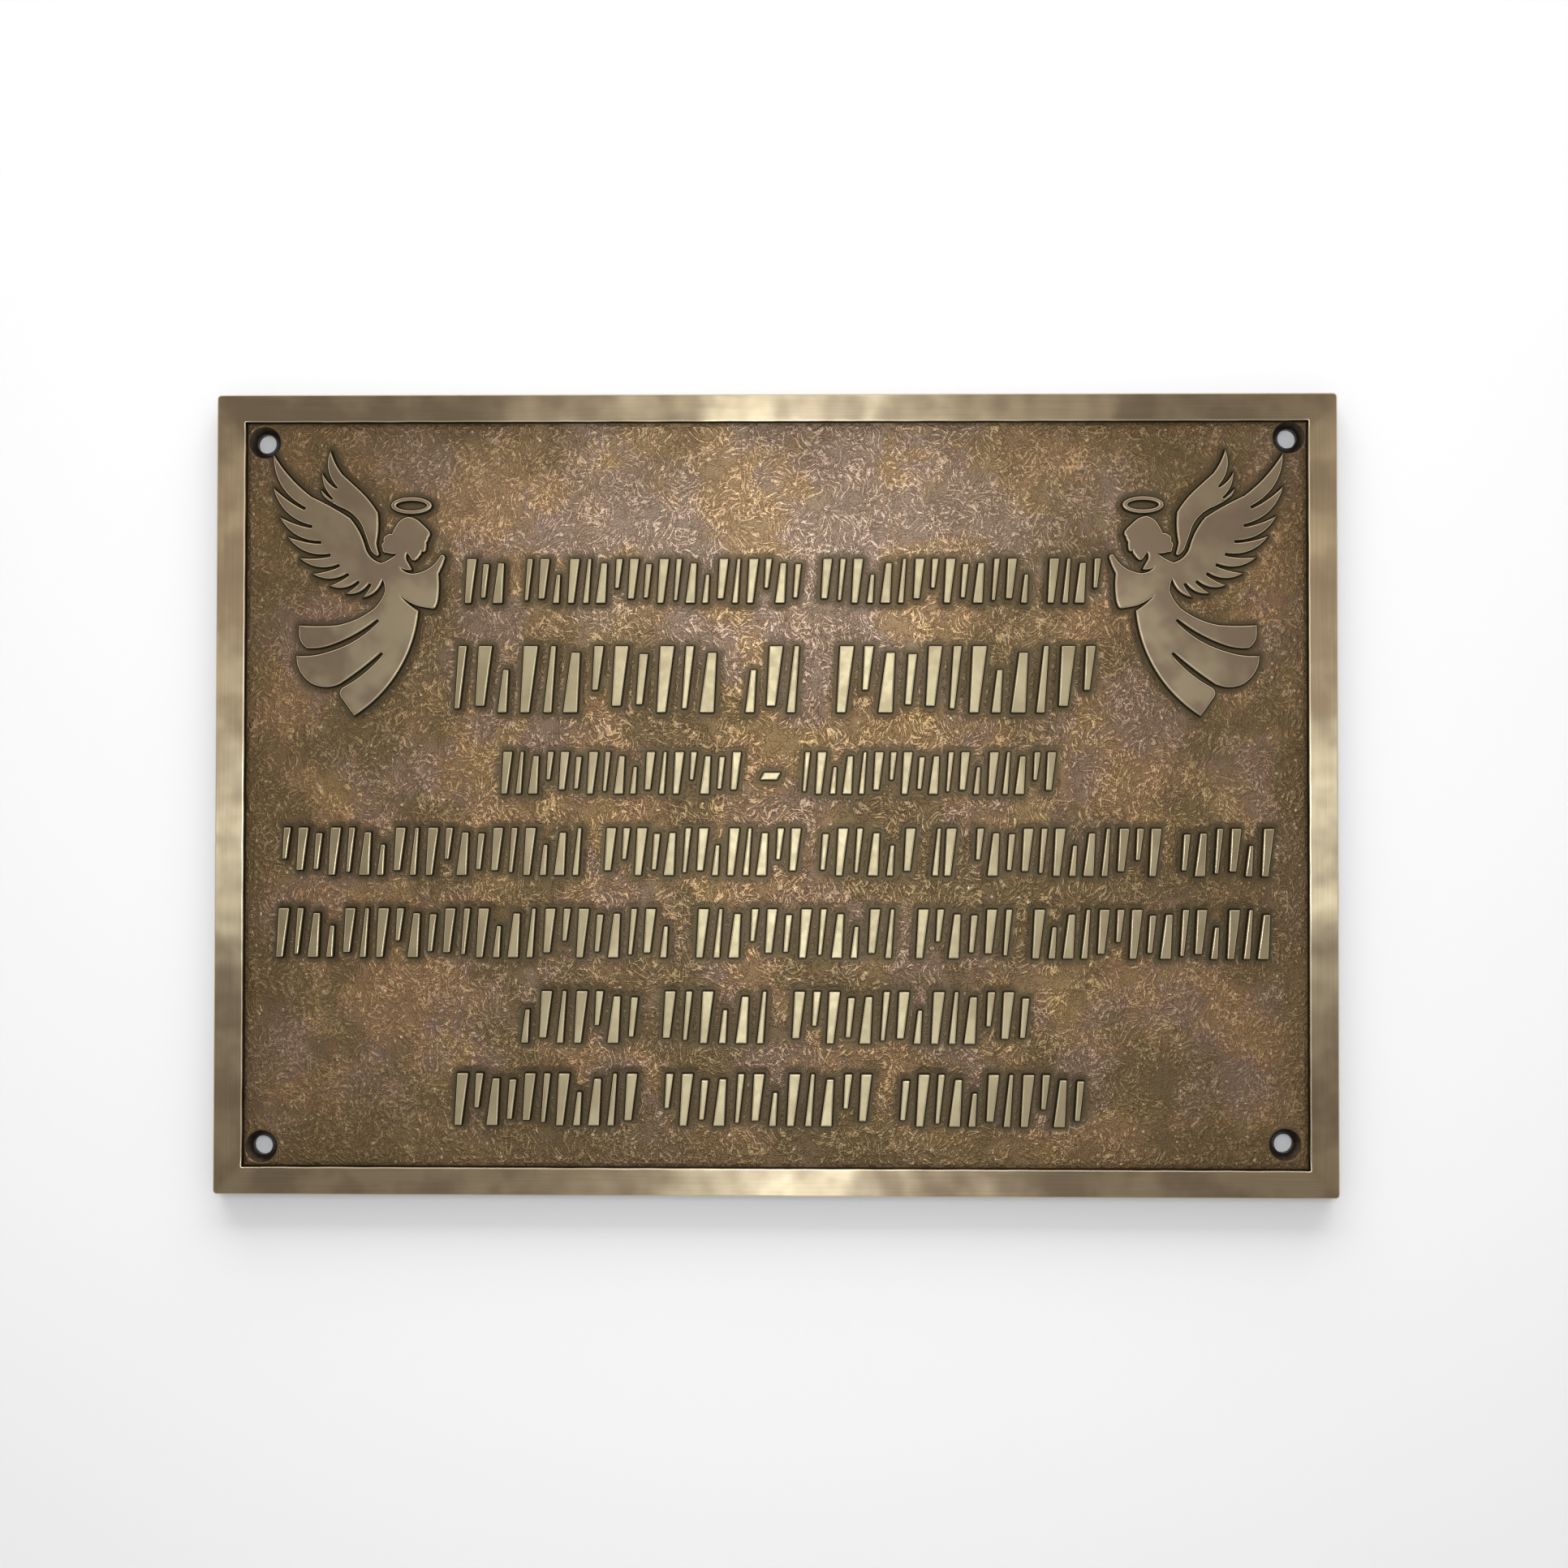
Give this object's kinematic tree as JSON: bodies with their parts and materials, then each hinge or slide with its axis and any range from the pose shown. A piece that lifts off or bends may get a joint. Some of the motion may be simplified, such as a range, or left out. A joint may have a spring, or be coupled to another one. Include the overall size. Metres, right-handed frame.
{
  "type": "flat grave marker",
  "caption": "Rectangular cast bronze grave plaque with a raised border, angel reliefs, rows of plain raised strokes and countersunk screw holes at its corners.",
  "frame": {"origin": "middle of the flat back, which lies on the ground or on the stone", "axes": "+X along the length, to the right of the face; +Y towards the top of the face; +Z out of the face"},
  "size_m": [0.35, 0.25, 0.006],
  "materials": {
    "bronze": "cast bronze, satin on the raised parts, with a mottled brown patina in the sunk field"
  },
  "bodies": {
    "root": {"marker_plate": "bronze"}
  },
  "joints": []
}
